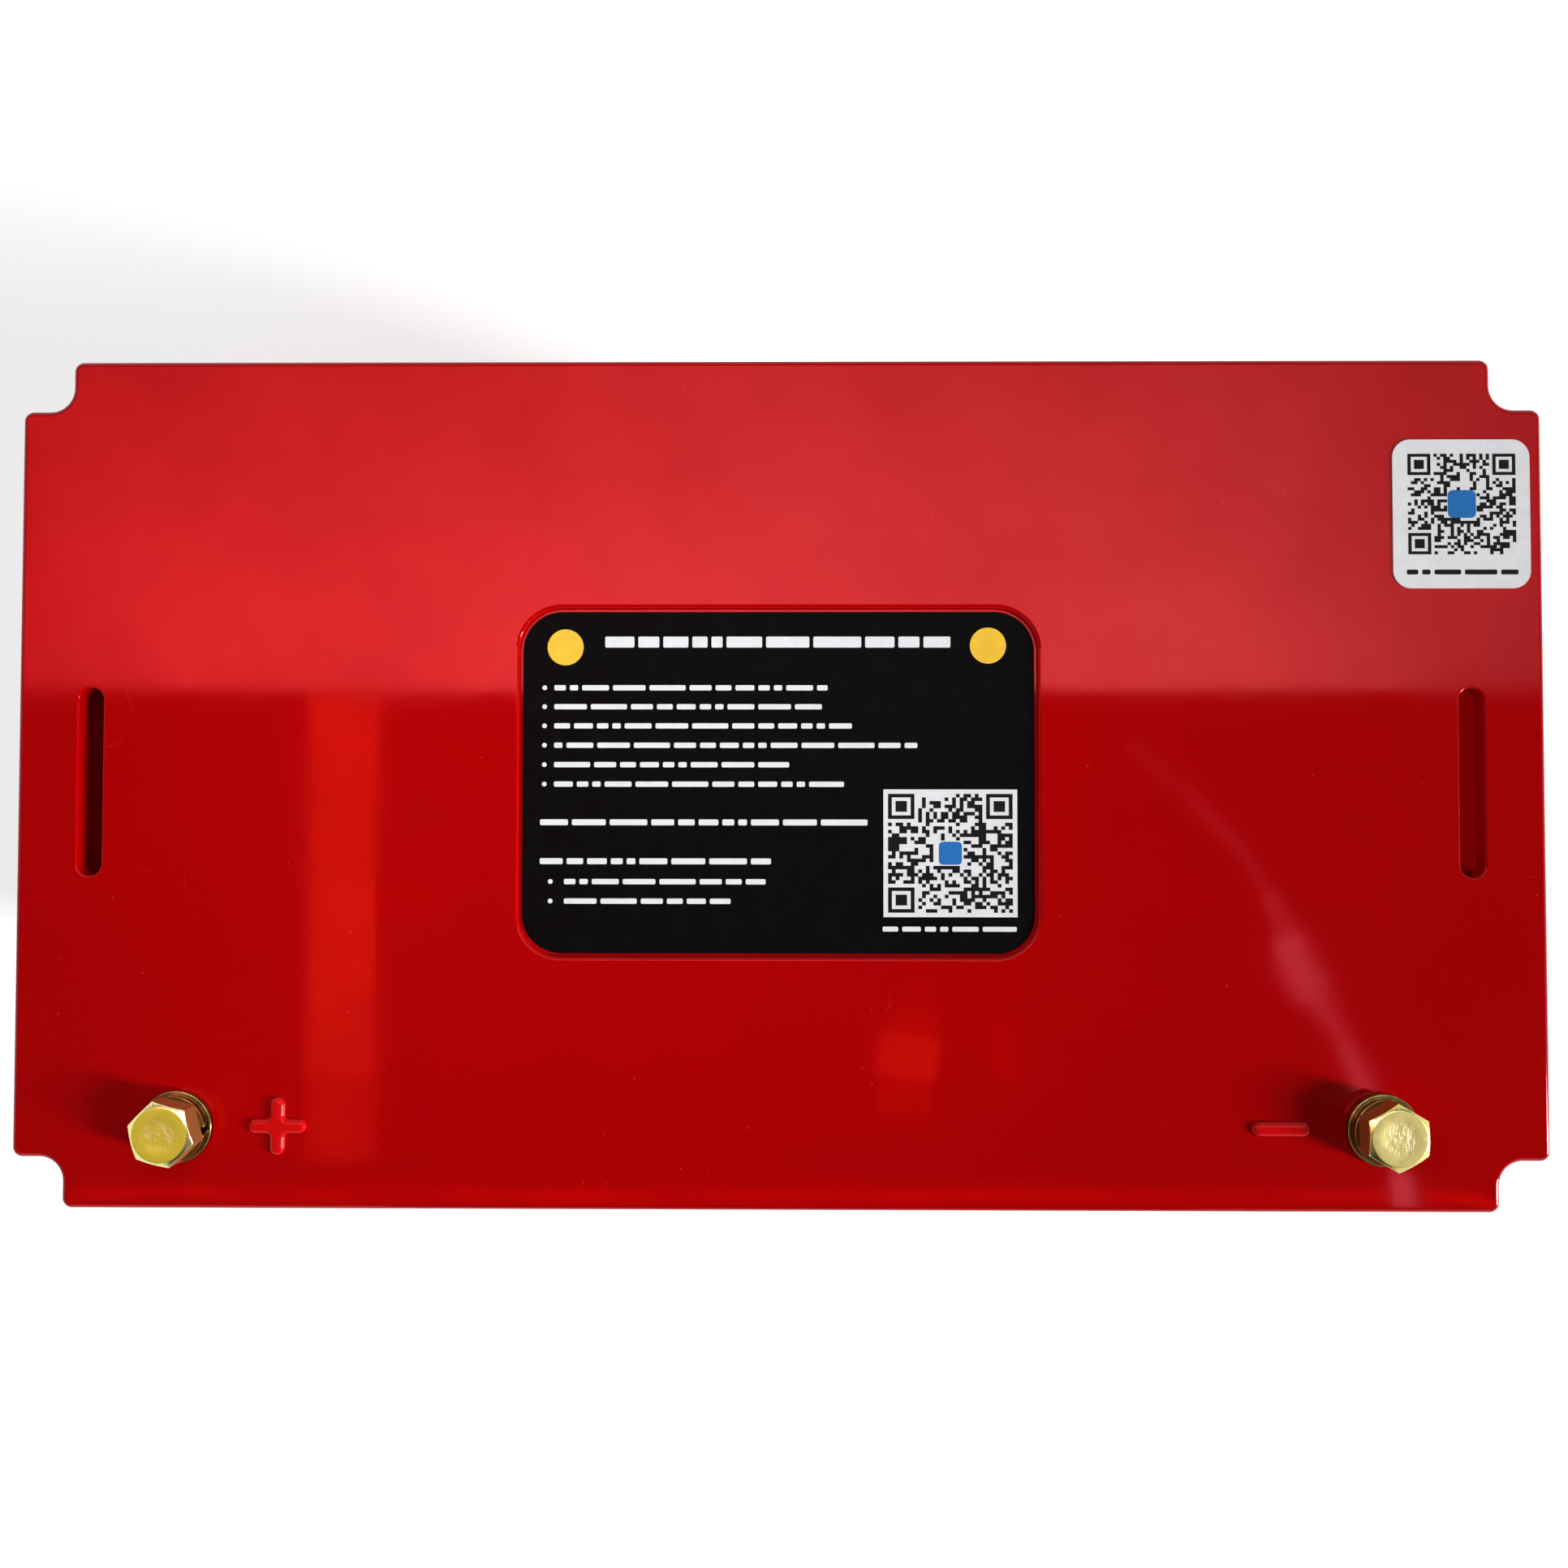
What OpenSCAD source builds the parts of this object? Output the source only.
// Sealed 12.8 V lithium iron phosphate battery block: four prismatic cells in series
// with their protection board, in a bonded two-part case with M8 bolt terminals.
// Millimetres. +X along the case, +Y to the back, +Z up.
// The origin is the middle of the case's underside.

/* [Prismatic cells] */
// Thickness of one cell, along the case
cell_t = 54; // [48:1:60]
// Width of one cell, across the case
cell_w = 174; // [170:1:190]
// Height of one cell to the top of its pole pads
cell_h = 207; // [190:1:220]
// Wall of the aluminium can
can_wall = 1; // [0.8:0.1:1.4]
// Corner radius of the can
can_r = 3; // [2:0.5:4]
// Thickness of the cell's cover plate
cover_t = 2; // [1.5:0.5:3]
// Distance between a cell's two poles
pole_pitch = 122; // [110:1:126]
// Side of the square pole pad
pole_pad = 22; // [18:1:24]
// Height of the pole pad
pole_pad_t = 2; // [1.5:0.5:3]
// Diameter of the threaded pole stud
stud_d = 6; // [5:1:8]
// Diameter of the rivet under the pole pad
rivet_d = 9; // [8:0.5:10]
// Thickness of the plastic ring under the pole pad
pole_ring_t = 1; // [0.8:0.1:1.5]
// Empty height over the electrode rolls inside the can
gas_space = 11; // [9:1:14]

/* [Cell stack] */
// Thickness of the sheet between two cells
separator_t = 2; // [1:0.5:3]
// Thickness of each end plate
end_plate_t = 3; // [2:0.5:5]
// Thickness of the heating film
heater_t = 0.8; // [0.5:0.1:1]
// Thickness of the side insulation boards
side_board_t = 1; // [0.8:0.1:1.2]
// Width of the steel compression band
band_w = 16; // [10:1:20]
// Thickness of the compression band
band_t = 0.6; // [0.4:0.1:0.8]
// Thickness of the copper bars
bar_t = 3; // [2:0.5:4]
// Width of the copper bars
bar_w = 20; // [16:1:22]
// Height of the nuts on the pole studs
nut_h = 6; // [5:0.5:7]
// Width of those nuts across their flats
nut_af = 10; // [9:0.5:11]

/* [Case] */
// Free length between each end plate and the case wall
end_room = 54; // [52:1:70]
// Free width between the cells and each case wall
side_room = 4.5; // [3:0.5:6]
// Free height between the pole pads and the lid
top_room = 18; // [17:1:30]
// Thickness of the foam under the cells
base_foam_t = 3; // [2:0.5:5]
// Thickness of the case walls
case_wall = 4; // [3:0.5:5]
// Thickness of the case floor
case_floor = 4; // [3:0.5:6]
// How far the case walls stand back from the lid's edge
case_step = 0.5; // [0.2:0.1:0.8]
// Length of each side of the corner notches
notch_leg = 11.4; // [10.5:0.1:14]
// Radius of the outer edges of the notches
notch_edge_r = 2.3; // [1.5:0.1:3]
// Radius in the root of the notches
notch_root_r = 5.3; // [3:0.1:5.5]

/* [Lid] */
// Height of the lid
lid_h = 26; // [22:1:32]
// Thickness of the lid's top wall
lid_top = 4; // [3.5:0.5:6]
// Thickness of the lid's skirt
lid_wall = 4; // [3.5:0.5:5]
// Height of the tongue round the case rim
tongue_h = 4; // [3:0.5:6]
// Thickness of that tongue
tongue_t = 1.5; // [1:0.1:1.6]
// Height of the bonding bead over the tongue
bead_h = 1; // [0.6:0.1:1.6]
// Length of the label recess
recess_w = 117; // [100:1:130]
// Width of the label recess
recess_d = 78.5; // [60:0.5:90]
// Corner radius of the label recess
recess_r = 9.5; // [6:0.5:14]
// Depth of the label recess
recess_depth = 1.5; // [0.8:0.1:2]
// Height of the raised polarity signs
sign_h = 1.3; // [0.6:0.1:2]
// Length of the bars of the polarity signs
sign_l = 13; // [10:0.5:15]
// Width of the bars of the polarity signs
sign_w = 3.3; // [2.5:0.1:4]
// Distance from a terminal to its polarity sign
sign_offset = 22.4; // [20:0.1:26]

/* [Strap slots] */
// Width of the strap slots
slot_w = 5.5; // [5:0.5:8]
// Length of the strap slots
slot_l = 42.5; // [30:0.5:50]
// Distance from the lid's end to the middle of a slot
slot_inset = 16.75; // [14:0.25:18]
// Height of the strap tunnel under the carrying bar
tunnel_h = 10; // [8:0.5:11]
// Extra length of the tunnel at each end of the slot
tunnel_side = 2; // [1:0.5:4]
// Wall round the strap tunnel
tunnel_wall = 3; // [2:0.5:3.5]

/* [Terminals] */
// Distance from the lid's end to the terminal axis
terminal_inset_x = 38; // [36:0.5:39]
// Distance from the lid's front to the terminal axis
terminal_inset_y = 18.75; // [18:0.25:22]
// Diameter of the terminal post
post_d = 15; // [14:0.5:15.5]
// How far the terminal post reaches below the level of the pole pads
post_drop = 6; // [5:0.5:9]
// Width of the post's hexagonal collar across its flats
collar_af = 20; // [18:0.5:21]
// Height of that collar
collar_h = 5; // [4:0.5:6]
// Diameter of the plastic boss round the post
boss_d = 28; // [26:0.5:28.5]
// Gap between that boss and the copper bars below it
boss_gap = 1; // [0.5:0.1:1.5]
// Cord diameter of the sealing ring round the post
ring_d = 2; // [1.5:0.1:2.4]
// Nominal thread diameter of the terminal bolt
bolt_d = 8; // [6:1:8]
// Length of the terminal bolt under its head
bolt_l = 16; // [14:1:18]
// Width of the bolt head across its flats
head_af = 13; // [12:0.5:14]
// Height of the bolt head
head_h = 5.3; // [4.5:0.1:6]
// Diameter of the flat washer
washer_d = 16; // [15.6:0.1:18]
// Thickness of the flat washer
washer_t = 1.6; // [1:0.1:2]
// Diameter of the spring washer
spring_d = 14.8; // [14:0.1:15.4]
// Thickness of the spring washer
spring_t = 2; // [1.5:0.1:2.5]

/* [Labels] */
// Gap between the label and the edge of its recess
label_gap = 0.6; // [0.3:0.1:1]
// Thickness of the label
label_t = 0.3; // [0.2:0.05:0.5]
// Length of the code sticker
sticker_w = 30.8; // [25:0.1:31]
// Width of the code sticker
sticker_d = 33.7; // [25:0.1:35]
// Corner radius of the code sticker
sticker_r = 4; // [2:0.5:6]
// Distance from the lid's end to the middle of the sticker
sticker_inset_x = 18.6; // [17:0.1:24]
// Distance from the lid's back to the middle of the sticker
sticker_inset_y = 35.4; // [32:0.2:40]

/* [Protection board] */
// Width of the protection board
board_w = 150; // [142:1:160]
// Height of the protection board
board_h = 110; // [100:1:120]
// Thickness of the protection board
board_t = 1.6; // [1.2:0.1:2]
// Length of the standoffs behind the board
standoff_l = 6; // [5:0.5:8]
// Thickness of the power transistors
transistor_t = 4.5; // [4:0.5:5]
// Number of power transistors in a row
transistor_count = 8; // [6:1:9]
// Thickness of the heat sink's base plate
sink_base = 3; // [2:0.5:4]
// Height of the heat sink's fins
fin_h = 8; // [6:0.5:10]
// Number of fins on the heat sink
fin_count = 9; // [6:1:11]
// Diameter of the sensing wires
wire_d = 1.6; // [1.2:0.1:1.8]

/* [Hidden] */
$fn = 96;

// Clearances: round parts that sit in holes, and parts that turn or slide in them
seat_gap = 0.05;
running_gap = 0.05;
cut_over = 1;

// Stack along X
cell_count = 4;
cell_pitch = cell_t + separator_t;
stack_half = (cell_count * cell_pitch - separator_t) / 2 + end_plate_t;
banded_half = stack_half + band_t;

// Levels along Z
cell_z = case_floor + base_foam_t;
pole_top = cell_z + cell_h;
can_top = pole_top - pole_pad_t - pole_ring_t;
can_h = can_top - cell_z;
stud_top = pole_top + bar_t + nut_h + 1;
lid_under = pole_top + top_room;
case_h = lid_under + lid_top;
seam_z = case_h - lid_h;

// Case outline
case_l = 2 * (stack_half + end_room + case_wall + case_step);
case_d = cell_w + 2 * (side_room + case_wall + case_step);
inner_half_l = case_l / 2 - case_step - case_wall;
inner_half_d = case_d / 2 - case_step - case_wall;
sharp_r = 0.3;
tongue_inset = case_step + (case_wall - tongue_t) / 2;
groove_gap = 0.15;

// Terminals
terminal_x = case_l / 2 - terminal_inset_x;
terminal_y = -case_d / 2 + terminal_inset_y;
post_bottom = pole_top - post_drop;
boss_bottom = pole_top + bar_t + boss_gap;
collar_z = boss_bottom + 1.5;
ring_z = case_h - lid_top - 2 * ring_d;
bolt_room = 2;
lug_screw_d = 6;
lug_screw_l = 10;
lug_head_af = 10;
lug_head_h = 4;
lug_bore_depth = lug_screw_l - bar_t + 1;
bolt_bore_depth = bolt_l - washer_t - spring_t + bolt_room;
chamfer_d = head_af - 1;
chamfer_h = 0.9;
dish_d = 8;
dish_depth = 0.4;
spring_split = 1.5;
spring_slant = 25;
positive_head_turn = 45;
negative_head_turn = 30;

// Bars, studs and nuts
pole_y = pole_pitch / 2;
stud_hole_d = stud_d + 0.4;
nut_flange_d = nut_af + 4;
nut_flange_h = 1.2;
bar_end = bar_w / 2;
lower_bar_z = post_bottom - bar_t;
bar_drop_x = banded_half + 1.4;

// Parts of the cells
collar_ring_d = rivet_d + 4;
insulator_side = pole_pad + 3;
vent_l = 30;
vent_w = 14;
vent_t = 0.5;
plug_d = 3;
plug_y = 30;
roll_t = cell_t / 2 - can_wall;
roll_w = cell_w - 2 * can_wall - 4;
roll_h = can_h - can_wall - cover_t - gas_space;
collector_t = 2;
collector_w = 30;
leg_t = 2;

// Plates, bands and foam round the stack
cells_half = stack_half - end_plate_t;
plate_drop = 14;
band_levels = [cell_h * 0.25, cell_h * 0.6];
band_r = 2;
heater_margin = 10;
board_margin = 6;
side_foam_t = side_room - heater_t - side_board_t;
side_foam_h = 24;
side_foam_levels = [cell_h * 0.07, cell_h * 0.36, cell_h * 0.75];
side_foam_margin = 10;
side_foam_l = 2 * (cells_half - side_foam_margin);
end_foam_half_d = 75;
end_foam_top = lower_bar_z - lug_head_h - 6;
top_board_t = 1;
top_foam_w = 24;
top_foam_l = 140;

// Protection board on the right end plate
board_x = stack_half + standoff_l;
face_x = board_x + board_t;
board_top = lower_bar_z - 15;
board_z = board_top - board_h;
sink_x = face_x + transistor_t;
sink_h = board_h * 0.68;
sink_top = board_z + sink_h;
sink_out = sink_x + sink_base + fin_h;
fin_t = 2;
transistor_w = 10;
transistor_h = 12;
transistor_rows = [board_z + sink_h * 0.3, board_z + sink_h * 0.7];
transistor_pitch = 13;
hole_inset = 7;
board_screw_d = 4;
board_screw_head_d = 7;
board_screw_head_h = 2.6;
standoff_af = 7;
pad_screw_d = 5;
pad_screw_head_d = 9;
pad_screw_head_h = 3;
pad_nut_af = 8;
pad_nut_h = 4;
pad_z = board_top - 11;
output_pad_y = -30;
output_bar_gap = 2.4;

// Sensing wires run in lanes over the middle of the cells
connector_w = 28;
connector_t = 8;
connector_h = 10;
connector_drop = 10;
connector_z = board_top - connector_drop - connector_h;
wire_x = face_x + connector_t / 2;
wire_z = pole_top + bar_t + wire_d + 0.6;
lane = 4;
bar_wire_y = pole_y - bar_end + wire_d;
sensor_l = 10;
sensor_h = 3;
radio_l = 45;
radio_w = 25;
radio_h = 5;
radio_margin = 19.5;
radio_x = stack_half - radio_margin - radio_l / 2;
wire_knee = 1.05;

// ---- Shared shapes ----

function cell_x(i) = (i - (cell_count - 1) / 2) * cell_pitch;

// +1 where the cell's positive pole is at the front, and -1 where it is at the back
function front_sign(i) = i % 2 == 0 ? 1 : -1;

module rounded_rect(l, d, r) {
  square([l - 2 * r, d], center = true);
  square([l, d - 2 * r], center = true);
  for (sx = [-1, 1], sy = [-1, 1])
    translate([sx * (l / 2 - r), sy * (d / 2 - r)])
      circle(r);
}

// A bar with half-round ends
module stadium(l, w) {
  square([l - w, w], center = true);
  for (side = [-1, 1])
    translate([side * (l - w) / 2, 0])
      circle(d = w);
}

module box(x0, x1, y0, y1, z0, z1) {
  translate([x0, y0, z0])
    cube([x1 - x0, y1 - y0, z1 - z0]);
}

// The case's plan, moved inwards by inset
module notched_plan(inset) {
  l = case_l - 2 * inset;
  d = case_d - 2 * inset;
  edge = max(notch_edge_r - inset, sharp_r);
  root = notch_root_r + inset;
  rounded_rect(l, d - 2 * notch_leg, edge);
  rounded_rect(l - 2 * notch_leg, d, edge);
  for (sx = [0, 1], sy = [0, 1])
    mirror([sx, 0]) mirror([0, sy])
      translate([l / 2 - notch_leg, d / 2 - notch_leg])
        difference() {
          translate([-cut_over, -cut_over])
            square(root + cut_over);
          translate([root, root])
            circle(root);
        }
}

module prism(inset, z0, z1) {
  translate([0, 0, z0])
    linear_extrude(z1 - z0)
      notched_plan(inset);
}

module disc(d, z0, z1) {
  translate([0, 0, z0])
    cylinder(d = d, h = z1 - z0);
}

module hexagon(af, z0, z1) {
  translate([0, 0, z0])
    linear_extrude(z1 - z0)
      circle(d = af / cos(30), $fn = 6);
}

module at_terminal(side) {
  translate([side * terminal_x, terminal_y, 0])
    children();
}

module at_each_cell() {
  for (i = [0 : cell_count - 1])
    translate([cell_x(i), 0, 0])
      children();
}

module at_each_pole() {
  for (i = [0 : cell_count - 1], side = [-1, 1])
    translate([cell_x(i), side * pole_y, 0])
      children();
}

// A straight round rod between two points
module rod(a, b, d) {
  v = b - a;
  translate(a)
    rotate([0, acos(v.z / norm(v)), atan2(v.y, v.x)])
      cylinder(d = d, h = norm(v));
}

// A wire along straight stretches, with a ball at each turn
module wire(points, d) {
  for (i = [0 : len(points) - 2])
    rod(points[i], points[i + 1], d);
  for (i = [1 : len(points) - 2])
    translate(points[i])
      sphere(d = d * wire_knee);
}

// ---- Case and lid ----

module case_body() {
  color("firebrick")
    difference() {
      union() {
        prism(case_step, 0, seam_z);
        prism(tongue_inset, seam_z - cut_over, seam_z + tongue_h);
      }
      prism(case_step + case_wall, case_floor, seam_z + cut_over);
      prism(tongue_inset + tongue_t, seam_z - cut_over / 2, seam_z + tongue_h + cut_over);
    }
}

// Plan of the sign's bars: one stadium, or two crossed ones with filled roots
module sign_plan(crossed) {
  root = sign_w / 4;
  for (turn = crossed ? [0, 90] : [0])
    rotate(turn)
      stadium(sign_l, sign_w);
  if (crossed)
    for (turn = [0 : 90 : 270])
      rotate(turn)
        translate([sign_w / 2, sign_w / 2])
          difference() {
            translate([-root, -root])
              square(2 * root);
            translate([root, root])
              circle(root);
          }
}

module polarity_sign(side) {
  translate([side * (terminal_x - sign_offset), terminal_y, case_h - cut_over])
    linear_extrude(sign_h + cut_over)
      sign_plan(side < 0);
}

// The slot through the lid's top wall
module slot_cut(side) {
  translate([side * (case_l / 2 - slot_inset), 0, lid_under - cut_over])
    linear_extrude(lid_top + 2 * cut_over)
      rotate(90)
        stadium(slot_l, slot_w);
}

// The tunnel from a slot to the lid's end face, grown by wall on its inner sides
module tunnel(side, wall, reach) {
  half = slot_l / 2 + tunnel_side + wall;
  inner = case_l / 2 - slot_inset - slot_w / 2 - wall;
  mirror([side < 0 ? 1 : 0, 0, 0])
    box(inner, case_l / 2 + reach, -half, half, lid_under - tunnel_h - wall, lid_under);
}

// The room that the lid leaves for a terminal post, its collar and its sealing ring
module post_room(side) {
  at_terminal(side) {
    disc(post_d + 2 * seat_gap, boss_bottom - cut_over, case_h + cut_over);
    hexagon(collar_af + 2 * seat_gap, collar_z, collar_z + collar_h);
    disc(post_d + 2 * ring_d + 2 * seat_gap, ring_z, ring_z + ring_d);
  }
}

module lid() {
  color("red")
    difference() {
      union() {
        difference() {
          prism(0, seam_z, case_h);
          prism(lid_wall, seam_z - cut_over, lid_under);
        }
        for (side = [-1, 1]) {
          at_terminal(side)
            disc(boss_d, boss_bottom, lid_under + cut_over);
          intersection() {
            tunnel(side, tunnel_wall, 0);
            prism(0, seam_z, case_h);
          }
          polarity_sign(side);
        }
      }
      difference() {
        prism(tongue_inset - groove_gap, seam_z - cut_over, seam_z + tongue_h + bead_h);
        prism(tongue_inset + tongue_t + groove_gap, seam_z - 2 * cut_over, case_h);
      }
      for (side = [-1, 1]) {
        slot_cut(side);
        tunnel(side, 0, cut_over);
        post_room(side);
      }
      translate([0, 0, case_h - recess_depth])
        linear_extrude(recess_depth + cut_over)
          rounded_rect(recess_w, recess_d, recess_r);
    }
}

// Bonding bead that fills the groove over the tongue
module lid_seal() {
  color("dimgray")
    difference() {
      prism(tongue_inset, seam_z + tongue_h, seam_z + tongue_h + bead_h);
      prism(tongue_inset + tongue_t, seam_z, case_h);
    }
}

module info_label() {
  color("black")
    translate([0, 0, case_h - recess_depth])
      linear_extrude(label_t)
        rounded_rect(recess_w - 2 * label_gap, recess_d - 2 * label_gap, recess_r - label_gap);
}

module code_sticker() {
  color("white")
    translate([case_l / 2 - sticker_inset_x, case_d / 2 - sticker_inset_y, case_h])
      linear_extrude(label_t)
        rounded_rect(sticker_w, sticker_d, sticker_r);
}

// ---- Terminals ----

module terminal_post() {
  difference() {
    union() {
      disc(post_d, post_bottom, case_h);
      hexagon(collar_af, collar_z, collar_z + collar_h);
    }
    disc(bolt_d + 2 * running_gap, case_h - bolt_bore_depth, case_h + cut_over);
    disc(lug_screw_d + 2 * seat_gap, post_bottom - cut_over, post_bottom + lug_bore_depth);
  }
}

module positive_terminal() {
  color("goldenrod")
    at_terminal(-1)
      terminal_post();
}

module negative_terminal() {
  color("goldenrod")
    at_terminal(1)
      terminal_post();
}

module terminal_rings() {
  color("dimgray")
    for (side = [-1, 1])
      at_terminal(side)
        difference() {
          disc(post_d + 2 * ring_d, ring_z, ring_z + ring_d);
          disc(post_d + seat_gap, ring_z - cut_over, ring_z + ring_d + cut_over);
        }
}

module flat_washer() {
  difference() {
    disc(washer_d, case_h, case_h + washer_t);
    disc(bolt_d + 0.4, case_h - cut_over, case_h + washer_t + cut_over);
  }
}

module spring_washer() {
  z = case_h + washer_t;
  difference() {
    disc(spring_d, z, z + spring_t);
    disc(bolt_d + 0.3, z - cut_over, z + spring_t + cut_over);
    translate([spring_d / 2, 0, z + spring_t / 2])
      rotate([spring_slant, 0, 0])
        cube([spring_d, spring_split, 3 * spring_t], center = true);
  }
}

module hex_bolt() {
  z = case_h + washer_t + spring_t;
  disc(bolt_d, z - bolt_l, z + cut_over);
  difference() {
    intersection() {
      hexagon(head_af, z, z + head_h);
      union() {
        disc(2 * head_af, z, z + head_h - chamfer_h);
        translate([0, 0, z + head_h - chamfer_h])
          cylinder(d1 = chamfer_d + 4 * chamfer_h, d2 = chamfer_d, h = chamfer_h);
      }
    }
    disc(dish_d, z + head_h - dish_depth, z + head_h + cut_over);
  }
}

module positive_flat_washer() {
  color("darkgoldenrod")
    at_terminal(-1)
      flat_washer();
}

module negative_flat_washer() {
  color("darkgoldenrod")
    at_terminal(1)
      flat_washer();
}

module positive_spring_washer() {
  color("goldenrod")
    at_terminal(-1)
      spring_washer();
}

module negative_spring_washer() {
  color("goldenrod")
    at_terminal(1)
      spring_washer();
}

module positive_bolt() {
  color("gold")
    at_terminal(-1)
      rotate(positive_head_turn)
        hex_bolt();
}

module negative_bolt() {
  color("gold")
    at_terminal(1)
      rotate(negative_head_turn)
        hex_bolt();
}

// Screws that hold the inner bars under the terminal posts
module terminal_screws() {
  color("silver")
    for (side = [-1, 1])
      at_terminal(side) {
        hexagon(lug_head_af, lower_bar_z - lug_head_h, lower_bar_z);
        disc(lug_screw_d, lower_bar_z - cut_over, lower_bar_z + lug_screw_l);
      }
}

// ---- Cells ----

module can_plan(inset) {
  rounded_rect(cell_t - 2 * inset, cell_w - 2 * inset, can_r - inset);
}

module cell_can(i) {
  color("lightsteelblue")
    translate([cell_x(i), 0, cell_z])
      difference() {
        linear_extrude(can_h)
          can_plan(0);
        translate([0, 0, can_wall])
          linear_extrude(can_h)
            can_plan(can_wall);
      }
}

module cell_can_1() {
  cell_can(0);
}

module cell_can_2() {
  cell_can(1);
}

module cell_can_3() {
  cell_can(2);
}

module cell_can_4() {
  cell_can(3);
}

module cell_covers() {
  color("gainsboro")
    at_each_cell()
      difference() {
        translate([0, 0, can_top - cover_t])
          linear_extrude(cover_t)
            can_plan(can_wall);
        translate([0, 0, can_top - cover_t - cut_over])
          linear_extrude(cover_t + 2 * cut_over)
            stadium(vent_l, vent_w);
        translate([0, plug_y, 0])
          disc(plug_d, can_top - cover_t - cut_over, can_top + cut_over);
        for (side = [-1, 1])
          translate([0, side * pole_y, 0])
            disc(collar_ring_d, can_top - cover_t - cut_over, can_top + cut_over);
      }
}

// Two wound rolls in each can
module electrode_rolls() {
  color("darkslategray")
    at_each_cell()
      for (side = [-1, 1])
        translate([side * roll_t / 2, 0, cell_z + can_wall])
          linear_extrude(roll_h)
            rotate(90)
              stadium(roll_w, roll_t);
}

// Rivet, pad and stud in one, with the strap down to the rolls
module cell_pole() {
  plate_z = can_top - cover_t - pole_ring_t - collector_t;
  leg_z = cell_z + can_wall + roll_h;
  disc(rivet_d, plate_z, can_top + pole_ring_t + cut_over);
  disc(stud_d, pole_top - cut_over, stud_top);
  box(-pole_pad / 2, pole_pad / 2, -pole_pad / 2, pole_pad / 2, can_top + pole_ring_t, pole_top);
  box(-pole_pad / 2, pole_pad / 2, -collector_w / 2, collector_w / 2, plate_z, plate_z + collector_t);
  box(-leg_t / 2, leg_t / 2, -collector_w / 2, collector_w / 2, leg_z, plate_z);
}

module cell_positive_poles() {
  color("silver")
    for (i = [0 : cell_count - 1])
      translate([cell_x(i), -front_sign(i) * pole_y, 0])
        cell_pole();
}

module cell_negative_poles() {
  color("peru")
    for (i = [0 : cell_count - 1])
      translate([cell_x(i), front_sign(i) * pole_y, 0])
        cell_pole();
}

module pole_insulators() {
  half = insulator_side / 2;
  under = can_top - cover_t;
  color("navy")
    at_each_pole()
      difference() {
        union() {
          box(-half, half, -half, half, can_top, can_top + pole_ring_t);
          disc(collar_ring_d - 2 * seat_gap, under - cut_over / 2, can_top + pole_ring_t / 2);
          disc(insulator_side - cut_over, under - pole_ring_t, under);
        }
        disc(rivet_d + 2 * seat_gap, under - 2 * pole_ring_t, pole_top);
      }
}

module vent_discs() {
  color("lightgray")
    at_each_cell()
      translate([0, 0, can_top - cover_t])
        linear_extrude(vent_t)
          stadium(vent_l - 2 * seat_gap, vent_w - 2 * seat_gap);
}

module filling_plugs() {
  color("gray")
    at_each_cell()
      translate([0, plug_y, 0])
        disc(plug_d - 2 * seat_gap, can_top - cover_t, can_top);
}

module cell_separators() {
  half = cell_w / 2 - can_r;
  color("gold")
    for (i = [0 : cell_count - 2])
      translate([cell_x(i) + cell_t / 2, 0, 0])
        box(0, separator_t, -half, half, cell_z, can_top - can_r);
}

// ---- Bars and nuts ----

// Flat bar over the poles of two neighbouring cells
module busbar(i) {
  color("orangered")
    difference() {
      translate([0, front_sign(i) * pole_y, 0])
        box(cell_x(i) - bar_end, cell_x(i + 1) + bar_end, -bar_end, bar_end,
            pole_top, pole_top + bar_t);
      for (k = [i, i + 1])
        translate([cell_x(k), front_sign(i) * pole_y, 0])
          disc(stud_hole_d, pole_top - cut_over, pole_top + bar_t + cut_over);
    }
}

module busbar_1_2() {
  busbar(0);
}

module busbar_2_3() {
  busbar(1);
}

module busbar_3_4() {
  busbar(2);
}

module busbar_nuts() {
  z = pole_top + bar_t;
  color("silver")
    at_each_pole()
      difference() {
        union() {
          hexagon(nut_af, z, z + nut_h);
          disc(nut_flange_d, z, z + nut_flange_h);
        }
        disc(stud_d + 2 * seat_gap, z - cut_over, z + nut_h + cut_over);
      }
}

// From the first cell down to the underside of the positive post
module positive_busbar() {
  first_x = cell_x(0);
  color("orangered")
    difference() {
      union() {
        box(-bar_drop_x - bar_t, first_x + bar_end, -pole_y - bar_end, -pole_y + bar_end,
            pole_top, pole_top + bar_t);
        box(-bar_drop_x - bar_t, -bar_drop_x, -pole_y - bar_end, -pole_y + bar_end,
            lower_bar_z, pole_top + bar_t);
        box(-terminal_x - bar_end, -bar_drop_x, terminal_y - bar_end, -pole_y + bar_end,
            lower_bar_z, post_bottom);
      }
      translate([first_x, -pole_y, 0])
        disc(stud_hole_d, pole_top - cut_over, pole_top + bar_t + cut_over);
      at_terminal(-1)
        disc(lug_screw_d + 2 * seat_gap, lower_bar_z - cut_over, post_bottom + cut_over);
    }
}

// A screw hole through whatever lies on the protection board
module pad_hole(y) {
  translate([board_x - cut_over, y, pad_z])
    rotate([0, 90, 0])
      cylinder(d = pad_screw_d + 2 * seat_gap, h = board_t + bar_t + 2 * cut_over);
}

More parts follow.
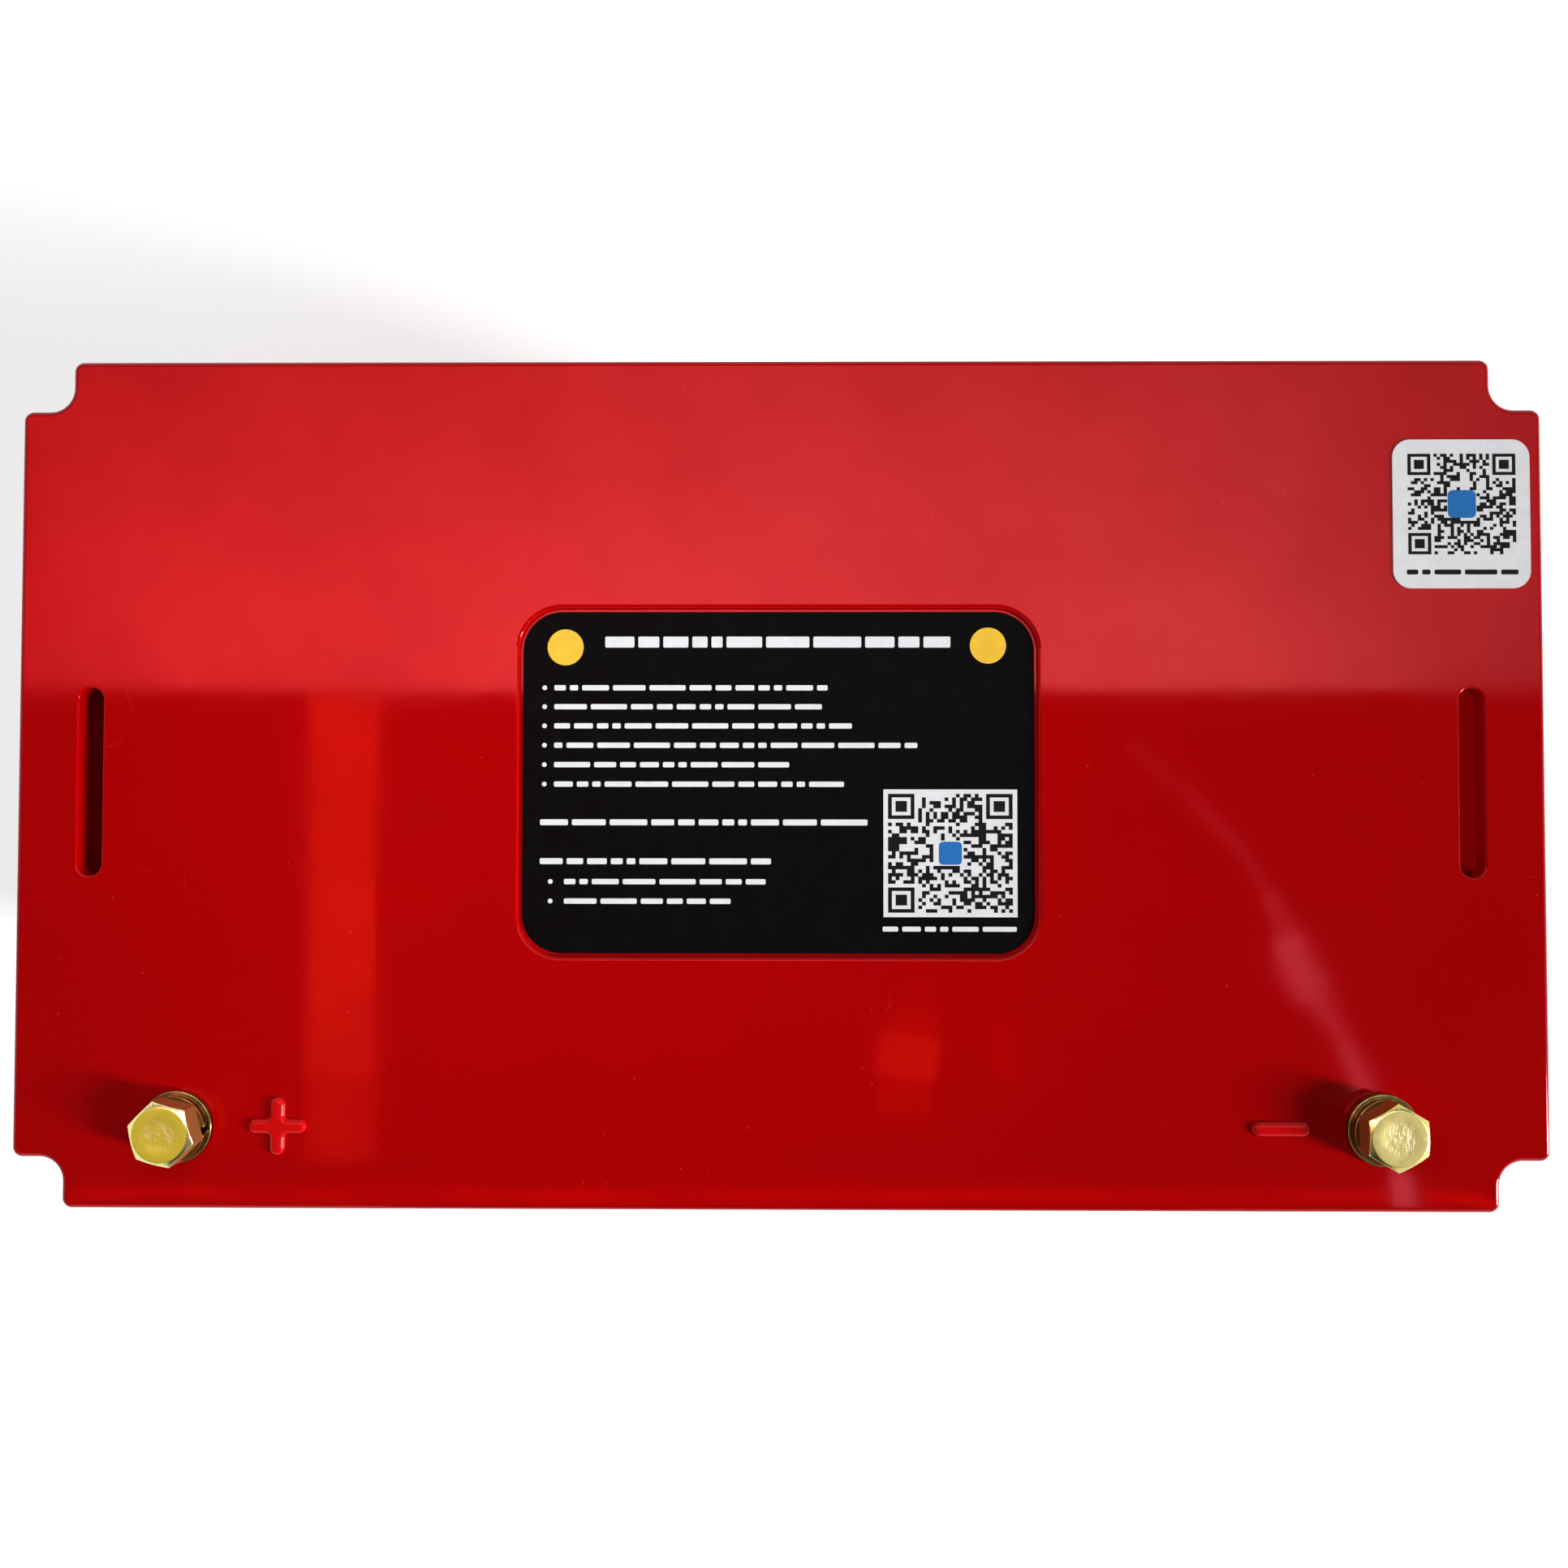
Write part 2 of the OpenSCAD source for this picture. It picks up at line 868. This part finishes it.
// From the last cell to the protection board
module pack_negative_bar() {
  last_x = cell_x(cell_count - 1);
  color("orangered")
    difference() {
      union() {
        box(last_x - bar_end, face_x + bar_t, -pole_y - bar_end, -pole_y + bar_end,
            pole_top, pole_top + bar_t);
        box(face_x, face_x + bar_t, -pole_y - bar_end, -pole_y + bar_end,
            pad_z - bar_end, pole_top + bar_t);
      }
      translate([last_x, -pole_y, 0])
        disc(stud_hole_d, pole_top - cut_over, pole_top + bar_t + cut_over);
      pad_hole(-pole_y);
    }
}

// From the protection board to the underside of the negative post
module output_negative_bar() {
  color("orangered")
    difference() {
      union() {
        box(face_x, face_x + bar_t, output_pad_y - bar_end, output_pad_y + bar_end,
            pad_z - bar_end, post_bottom);
        box(face_x, terminal_x + bar_end, output_pad_y - bar_end, output_pad_y + bar_end,
            lower_bar_z, post_bottom);
        box(face_x + bar_t + output_bar_gap, terminal_x + bar_end,
            terminal_y - bar_end, output_pad_y + bar_end, lower_bar_z, post_bottom);
      }
      at_terminal(1)
        disc(lug_screw_d + 2 * seat_gap, lower_bar_z - cut_over, post_bottom + cut_over);
      pad_hole(output_pad_y);
    }
}

// ---- Plates, bands, films and foam ----

module left_end_plate() {
  color("palegreen")
    box(-stack_half, -cells_half, -cell_w / 2, cell_w / 2, cell_z, can_top - plate_drop);
}

module right_end_plate() {
  color("palegreen")
    box(cells_half, stack_half, -cell_w / 2, cell_w / 2, cell_z, can_top - plate_drop);
}

module compression_bands() {
  half_d = cell_w / 2 + heater_t + side_board_t;
  color("slategray")
    for (z = band_levels)
      translate([0, 0, cell_z + z - band_w / 2])
        linear_extrude(band_w)
          difference() {
            rounded_rect(2 * banded_half, 2 * (half_d + band_t), band_r + band_t);
            rounded_rect(2 * stack_half, 2 * half_d, band_r);
          }
}

module heater(side) {
  half_l = cells_half - heater_margin;
  color("orange")
    mirror([0, side < 0 ? 1 : 0, 0])
      box(-half_l, half_l, cell_w / 2, cell_w / 2 + heater_t,
          cell_z + heater_margin, can_top - heater_margin);
}

module front_heater() {
  heater(-1);
}

module back_heater() {
  heater(1);
}

module side_board(side) {
  y = cell_w / 2 + heater_t;
  color("palegreen")
    mirror([0, side < 0 ? 1 : 0, 0])
      box(-cells_half, cells_half, y, y + side_board_t, cell_z, can_top - board_margin);
}

module front_board() {
  side_board(-1);
}

module back_board() {
  side_board(1);
}

module base_foam() {
  color("whitesmoke")
    box(-stack_half, stack_half, -cell_w / 2, cell_w / 2, case_floor, cell_z);
}

module side_foam() {
  color("whitesmoke")
    for (side = [0, 1], z = side_foam_levels)
      mirror([0, side, 0])
        box(-side_foam_l / 2, side_foam_l / 2, inner_half_d - side_foam_t, inner_half_d,
            cell_z + z, cell_z + z + side_foam_h);
}

module left_end_foam() {
  color("whitesmoke")
    box(-inner_half_l, -banded_half, -end_foam_half_d, end_foam_half_d, case_floor, end_foam_top);
}

module right_end_foam() {
  color("whitesmoke")
    box(sink_out, inner_half_l, -end_foam_half_d, end_foam_half_d, case_floor, end_foam_top);
}

module top_board() {
  color("palegreen")
    box(-cells_half, cells_half, -cell_w / 2 + can_r, cell_w / 2 - can_r,
        stud_top, stud_top + top_board_t);
}

module top_foam() {
  color("whitesmoke")
    for (side = [-1, 1])
      translate([0, side * pole_y * 0.7, 0])
        box(-top_foam_l / 2, top_foam_l / 2, -top_foam_w / 2, top_foam_w / 2,
            stud_top + top_board_t, lid_under);
}

// ---- Protection board ----

module at_board_holes(x) {
  for (side = [-1, 1], z = [board_z + hole_inset, sink_top - hole_inset])
    translate([x, side * (board_w / 2 - hole_inset), z])
      rotate([0, 90, 0])
        children();
}

module protection_board() {
  color("darkgreen")
    difference() {
      box(board_x, face_x, -board_w / 2, board_w / 2, board_z, board_top);
      at_board_holes(board_x - cut_over)
        cylinder(d = board_screw_d + 2 * seat_gap, h = board_t + 2 * cut_over);
      pad_hole(-pole_y);
      pad_hole(output_pad_y);
    }
}

module power_transistors() {
  first = -(transistor_count - 1) / 2;
  color("black")
    for (i = [0 : transistor_count - 1], z = transistor_rows)
      translate([0, (first + i) * transistor_pitch, z])
        box(face_x, sink_x, -transistor_w / 2, transistor_w / 2,
            -transistor_h / 2, transistor_h / 2);
}

module heat_sink() {
  fin_span = board_w - 4 * hole_inset - fin_t;
  color("silver")
    difference() {
      union() {
        box(sink_x, sink_x + sink_base, -board_w / 2, board_w / 2, board_z, sink_top);
        for (i = [0 : fin_count - 1])
          translate([0, (i / (fin_count - 1) - 0.5) * fin_span, 0])
            box(sink_x, sink_out, -fin_t / 2, fin_t / 2, board_z, sink_top);
      }
      at_board_holes(sink_x - cut_over)
        cylinder(d = board_screw_d + 2 * seat_gap, h = sink_base + 2 * cut_over);
    }
}

module board_standoffs() {
  color("goldenrod")
    at_board_holes(stack_half)
      difference() {
        linear_extrude(standoff_l)
          circle(d = standoff_af / cos(30), $fn = 6);
        translate([0, 0, cut_over])
          cylinder(d = board_screw_d + 2 * seat_gap, h = standoff_l);
      }
}

module board_screws() {
  color("silver")
    at_board_holes(stack_half) {
      translate([0, 0, 2 * cut_over])
        cylinder(d = board_screw_d, h = sink_x + sink_base - stack_half - cut_over);
      translate([0, 0, sink_x + sink_base - stack_half])
        cylinder(d = board_screw_head_d, h = board_screw_head_h);
    }
}

// Screws that clamp the two bars to the board, with their nuts
module bar_screws() {
  top_x = face_x + bar_t;
  color("silver")
    for (y = [-pole_y, output_pad_y])
      translate([0, y, pad_z])
        rotate([0, 90, 0]) {
          disc(pad_screw_head_d, top_x, top_x + pad_screw_head_h);
          disc(pad_screw_d, board_x - pad_nut_h, top_x + cut_over);
          difference() {
            hexagon(pad_nut_af, board_x - pad_nut_h, board_x);
            disc(pad_screw_d + 2 * seat_gap, board_x - pad_nut_h - cut_over, board_x + cut_over);
          }
        }
}

module sense_connector() {
  color("ivory")
    box(face_x, face_x + connector_t, -connector_w / 2, connector_w / 2,
        connector_z, connector_z + connector_h);
}

// One wire from the connector along its lane to a bar
module bar_wire(lane_index, x, side) {
  y = lane_index * lane;
  wire([
    [wire_x, y, connector_z + connector_h],
    [wire_x, y, wire_z],
    [x, y, wire_z],
    [x, side * bar_wire_y, wire_z],
    [x, side * bar_wire_y, pole_top + bar_t]
  ], wire_d);
}

module sense_wires() {
  color("black") {
    bar_wire(-2, cell_x(3), -1);
    bar_wire(-1, 0, -1);
    bar_wire(0, cell_x(0), -1);
    bar_wire(1, -cell_pitch, 1);
    bar_wire(2, cell_pitch, 1);
  }
}

module temperature_sensor() {
  y = 3 * lane;
  color("darkorange")
    union() {
      translate([cell_x(3), y, 0])
        box(-sensor_l / 2, sensor_l / 2, -lane / 2, lane / 2, can_top, can_top + sensor_h);
      wire([
        [wire_x, y, connector_z + connector_h],
        [wire_x, y, wire_z],
        [cell_x(3), y, wire_z],
        [cell_x(3), y, can_top + sensor_h / 2]
      ], wire_d);
    }
}

// Radio module on the top board, with its lead to the connector
module radio_module() {
  y = -3 * lane;
  z = stud_top + top_board_t;
  color("teal")
    union() {
      translate([radio_x, 0, z])
        box(-radio_l / 2, radio_l / 2, -radio_w / 2, radio_w / 2, 0, radio_h);
      wire([
        [wire_x, y, connector_z + connector_h],
        [wire_x, y, z + radio_h / 2],
        [radio_x, y, z + radio_h / 2]
      ], wire_d);
    }
}

// ---- Drawing ----

case_body();
lid();
lid_seal();
info_label();
code_sticker();
positive_terminal();
negative_terminal();
terminal_rings();
positive_flat_washer();
negative_flat_washer();
positive_spring_washer();
negative_spring_washer();
positive_bolt();
negative_bolt();
cell_can_1();
cell_can_2();
cell_can_3();
cell_can_4();
cell_covers();
electrode_rolls();
cell_positive_poles();
cell_negative_poles();
pole_insulators();
vent_discs();
filling_plugs();
cell_separators();
busbar_1_2();
busbar_2_3();
busbar_3_4();
busbar_nuts();
positive_busbar();
pack_negative_bar();
output_negative_bar();
terminal_screws();
left_end_plate();
right_end_plate();
compression_bands();
front_heater();
back_heater();
front_board();
back_board();
base_foam();
side_foam();
left_end_foam();
right_end_foam();
top_board();
top_foam();
protection_board();
power_transistors();
heat_sink();
board_standoffs();
board_screws();
bar_screws();
sense_connector();
sense_wires();
temperature_sensor();
radio_module();
